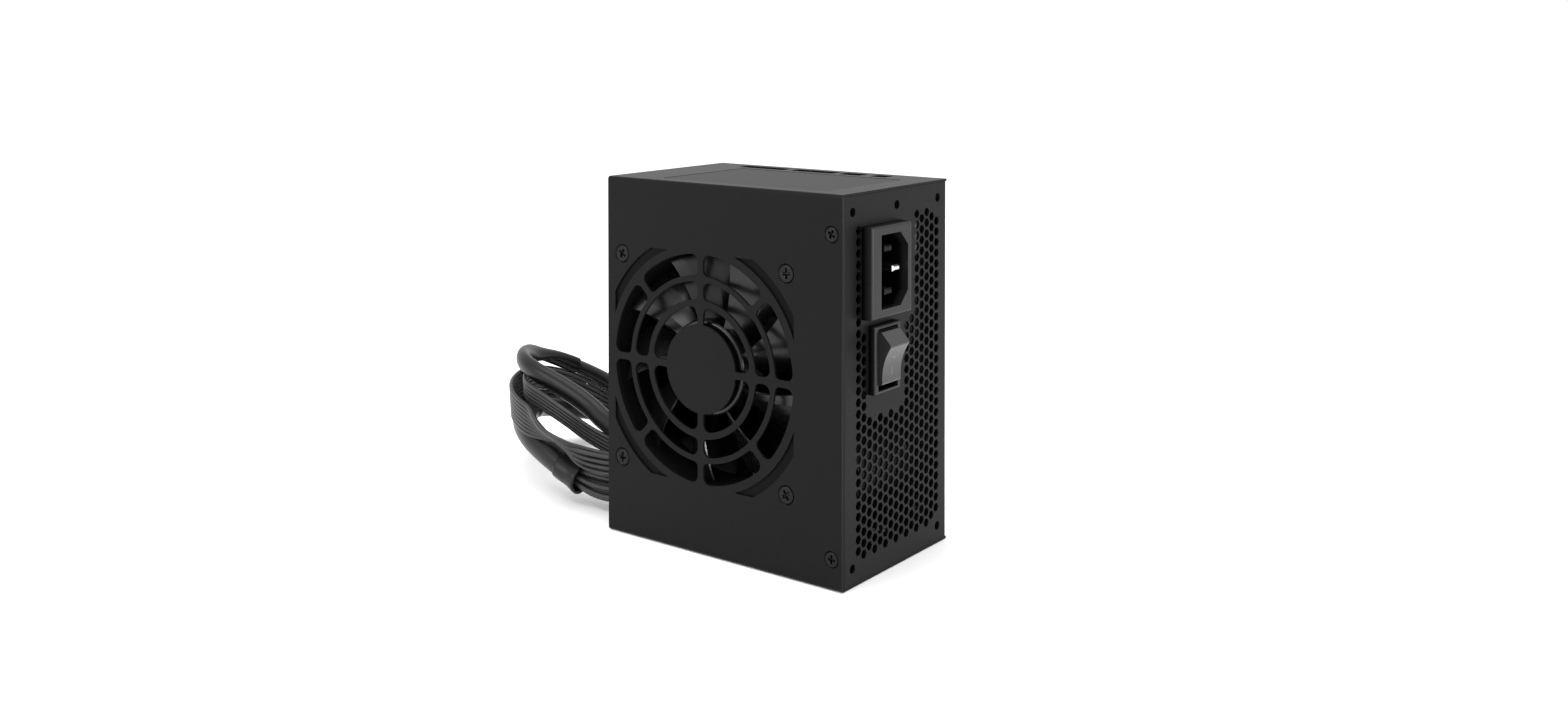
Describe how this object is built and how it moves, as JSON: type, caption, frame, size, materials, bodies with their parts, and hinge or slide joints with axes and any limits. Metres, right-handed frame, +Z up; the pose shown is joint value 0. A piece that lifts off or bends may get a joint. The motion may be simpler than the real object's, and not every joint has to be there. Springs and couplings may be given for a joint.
{
  "type": "power supply unit",
  "caption": "Small-form-factor computer power supply: boxed black steel housing with a stamped fan guard, mains inlet, rocker switch, honeycomb mains wall and attached output cables",
  "frame": {"origin": "centre of the housing's bottom face as it stands on its narrow side, on the resting plane", "axes": "+Z up, +X out of the mains wall with the inlet and switch, -X the cable wall, -Y out of the fan side, +Y the back"},
  "size_m": [0.2036, 0.1161, 0.125],
  "materials": {
    "black_steel": "satin black powder coat on sheet steel",
    "black_screw": "black oxide steel",
    "label_black": "blank satin film label",
    "film": "black insulating film",
    "inlet_plastic": "moulded black thermoplastic",
    "rocker_plastic": "polished black thermoplastic",
    "pin_metal": "nickel-plated brass",
    "lead_black": "PVC-insulated wire",
    "fan_plastic": "glass-filled black thermoplastic",
    "shaft_steel": "ground steel",
    "brass": "plain brass",
    "copper": "enamelled copper windings",
    "connector_white": "natural nylon",
    "board": "phenolic board",
    "steel_screw": "zinc-plated steel",
    "can_sleeve": "shrink sleeve on aluminium cans",
    "core_yellow": "taped ferrite",
    "aluminium": "mill-finish sheet",
    "device_black": "moulded epoxy",
    "cap_yellow": "box film capacitor",
    "fuse_glass": "glass tube",
    "bushing": "flexible nylon",
    "cable_black": "black PVC wires, sleeved or flat",
    "plug_black": "black nylon housing"
  },
  "bodies": {
    "housing": {"chassis_tray": "black_steel", "fan_cover": "black_steel", "side_label": "label_black", "cover_screws": "black_screw", "insulation_film": "film", "inlet_body": "inlet_plastic", "inlet_line_pins": "pin_metal", "inlet_earth_pin": "pin_metal", "inlet_leads": "lead_black", "switch_body": "inlet_plastic", "switch_terminals": "pin_metal", "switch_leads": "lead_black", "fan_frame": "fan_plastic", "fan_bearing": "brass", "fan_stator": "copper", "fan_screws": "black_screw", "fan_lead": "lead_black", "fan_connector": "connector_white", "main_board": "board", "standoffs": "brass", "board_screws": "steel_screw", "bulk_capacitor": "can_sleeve", "output_capacitors": "can_sleeve", "main_transformer": "core_yellow", "standby_transformer": "core_yellow", "pfc_choke": "copper", "common_mode_choke": "copper", "output_choke": "copper", "primary_heatsink": "aluminium", "power_transistors": "device_black", "secondary_heatsink": "aluminium", "output_rectifiers": "device_black", "bridge_rectifier": "device_black", "filter_capacitor": "cap_yellow", "fuse": "fuse_glass", "control_board": "board", "cable_bushing": "bushing", "output_bundle": "lead_black", "main_cable": "cable_black", "cpu_cable": "cable_black", "drive_cable": "cable_black", "graphics_cable": "cable_black", "cpu_plug": "plug_black", "drive_plug": "plug_black", "graphics_plug": "plug_black", "main_plug": "plug_black"},
    "rotor": {"fan_rotor": "fan_plastic", "fan_shaft": "shaft_steel"},
    "rocker": {"switch_rocker": "rocker_plastic"}
  },
  "joints": [
    {"name": "fan_spin", "type": "hinge", "parent": "housing", "child": "rotor", "pos_m": [-0.00765, -0.025, 0.0625], "axis": [0, -1, 0], "continuous": true},
    {"name": "rocker_tilt", "type": "hinge", "parent": "housing", "child": "rocker", "pos_m": [0.0503, -0.00925, 0.07055], "axis": [0, -1, 0], "range_deg": [0, 30]}
  ]
}
